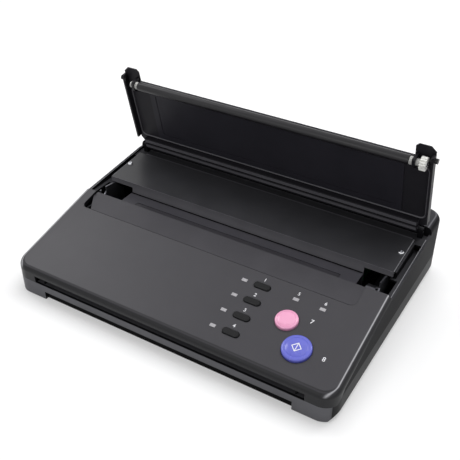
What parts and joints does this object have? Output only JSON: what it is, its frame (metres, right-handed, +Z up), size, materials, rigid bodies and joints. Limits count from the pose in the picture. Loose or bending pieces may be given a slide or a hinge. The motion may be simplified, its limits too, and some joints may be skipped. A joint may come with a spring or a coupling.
{
  "type": "thermal stencil copier",
  "caption": "Wedge-shaped desktop copier with a hinged rear cover carrying a rubber platen over a thermal head, a front document slot and a sloping key panel.",
  "frame": {"origin": "on the table under the centre of the overall box", "axes": "+X to the operator's right along the case, +Y from the document slot to the back, +Z up"},
  "size_m": [0.35, 0.255, 0.1695],
  "materials": {
    "case_dark": "fine matt texture",
    "panel_grey": "fine matt texture",
    "cover_dark": "satin",
    "liner_dark": "satin",
    "deck_dark": "satin",
    "ramp_grey": "satin",
    "trough_grey": "satin",
    "lip_grey": "satin",
    "white_plastic": "semi-gloss acetal",
    "key_black": "semi-gloss",
    "stop_pink": "semi-gloss",
    "copy_blue": "semi-gloss",
    "lamp_clear": "translucent",
    "rubber_black": "matt",
    "steel": "zinc plated sheet and ground bar",
    "screw_steel": "nickel plated",
    "heat_sink_metal": "extruded",
    "ceramic": "glazed ceramic",
    "board_green": "solder mask",
    "sensor_glass": "clear"
  },
  "bodies": {
    "case": {"bottom_tray": "case_dark", "rubber_feet": "rubber_black", "side_housing": "case_dark", "panel_cover": "panel_grey", "exit_ramp": "ramp_grey", "trough_floor": "trough_grey", "rear_deck": "deck_dark", "deck_screws": "screw_steel", "case_screws": "screw_steel", "hinge_pins": "steel", "side_frame_left": "steel", "side_frame_right": "steel", "document_bed": "lip_grey", "front_guide": "case_dark", "rear_guide": "case_dark", "sensor_housing": "case_dark", "sensor_glass": "sensor_glass", "sensor_springs": "steel", "feed_bushes": "white_plastic", "head_beam": "steel", "print_motor": "steel", "scan_motor": "steel", "idler_pin": "steel", "panel_board": "board_green", "lamp_windows": "lamp_clear", "tact_switches": "key_black", "board_standoffs": "white_plastic", "main_board": "board_green", "power_board": "board_green", "mains_inlet": "key_black", "switch_bezel": "key_black"},
    "cover": {"cover_shell": "cover_dark", "cover_liner": "liner_dark", "platen_brackets": "case_dark", "platen_bushes": "white_plastic"},
    "platen": {"platen_rubber": "rubber_black", "platen_shaft": "steel", "platen_gear": "white_plastic"},
    "right_latch": {"latch_knob_right": "panel_grey"},
    "left_latch": {"latch_knob_left": "panel_grey"},
    "idler": {"idler_gear": "white_plastic"},
    "print_drive": {"print_pinion": "white_plastic"},
    "feed_roller": {"feed_rubber": "rubber_black", "feed_shaft": "steel", "feed_gear": "white_plastic"},
    "scan_drive": {"scan_pinion": "white_plastic"},
    "print_head": {"heat_sink": "heat_sink_metal", "heater_board": "ceramic", "head_springs": "steel"},
    "key_1": {"mode_key_1": "key_black"},
    "key_2": {"mode_key_2": "key_black"},
    "key_3": {"mode_key_3": "key_black"},
    "key_4": {"mode_key_4": "key_black"},
    "stop": {"stop_button": "stop_pink"},
    "copy": {"copy_button": "copy_blue"},
    "power_rocker": {"switch_rocker": "key_black"}
  },
  "joints": [
    {"name": "cover_hinge", "type": "hinge", "parent": "case", "child": "cover", "pos_m": [0, 0.086, 0.0665], "axis": [1, 0, 0], "range_deg": [-10, 82.43]},
    {"name": "platen_spin", "type": "hinge", "parent": "cover", "child": "platen", "pos_m": [0, 0.06099, 0.15293], "axis": [1, 0, 0], "continuous": true},
    {"name": "right_latch_push", "type": "slide", "parent": "cover", "child": "right_latch", "axis": [-1, 0, 0], "range_m": [0, 0.0012], "stiffness_N_per_m": 600},
    {"name": "left_latch_push", "type": "slide", "parent": "cover", "child": "left_latch", "axis": [1, 0, 0], "range_m": [0, 0.0012], "stiffness_N_per_m": 600},
    {"name": "idler_spin", "type": "hinge", "parent": "case", "child": "idler", "pos_m": [0, -0.0042, 0.039], "axis": [1, 0, 0], "continuous": true},
    {"name": "print_motor_spin", "type": "hinge", "parent": "case", "child": "print_drive", "pos_m": [0, 0.00632, 0.03292], "axis": [1, 0, 0], "continuous": true},
    {"name": "feed_spin", "type": "hinge", "parent": "case", "child": "feed_roller", "pos_m": [0, -0.058, 0.0248], "axis": [1, 0, 0], "continuous": true},
    {"name": "scan_motor_spin", "type": "hinge", "parent": "case", "child": "scan_drive", "pos_m": [0, -0.04826, 0.03666], "axis": [1, 0, 0], "continuous": true},
    {"name": "head_press", "type": "slide", "parent": "case", "child": "print_head", "axis": [0, 0, -1], "range_m": [0, 0.0012], "stiffness_N_per_m": 12000, "deforming": ["head_springs"]},
    {"name": "mode_key_1_press", "type": "slide", "parent": "case", "child": "key_1", "axis": [0, 0.2181, -0.9759], "range_m": [0, 0.0008], "stiffness_N_per_m": 700},
    {"name": "mode_key_2_press", "type": "slide", "parent": "case", "child": "key_2", "axis": [0, 0.2181, -0.9759], "range_m": [0, 0.0008], "stiffness_N_per_m": 700},
    {"name": "mode_key_3_press", "type": "slide", "parent": "case", "child": "key_3", "axis": [0, 0.2181, -0.9759], "range_m": [0, 0.0008], "stiffness_N_per_m": 700},
    {"name": "mode_key_4_press", "type": "slide", "parent": "case", "child": "key_4", "axis": [0, 0.2181, -0.9759], "range_m": [0, 0.0008], "stiffness_N_per_m": 700},
    {"name": "stop_press", "type": "slide", "parent": "case", "child": "stop", "axis": [0, 0.2181, -0.9759], "range_m": [0, 0.0015], "stiffness_N_per_m": 700},
    {"name": "copy_press", "type": "slide", "parent": "case", "child": "copy", "axis": [0, 0.2181, -0.9759], "range_m": [0, 0.0015], "stiffness_N_per_m": 700},
    {"name": "power_switch_tilt", "type": "hinge", "parent": "case", "child": "power_rocker", "pos_m": [-0.078, 0.1215, 0.042], "axis": [1, 0, 0], "range_deg": [-9, 9]}
  ],
  "couplings": [
    {"joint": "idler_spin", "follows": "platen_spin", "ratio": -0.75},
    {"joint": "print_motor_spin", "follows": "platen_spin", "ratio": 1.5},
    {"joint": "scan_motor_spin", "follows": "feed_spin", "ratio": -2.8}
  ]
}
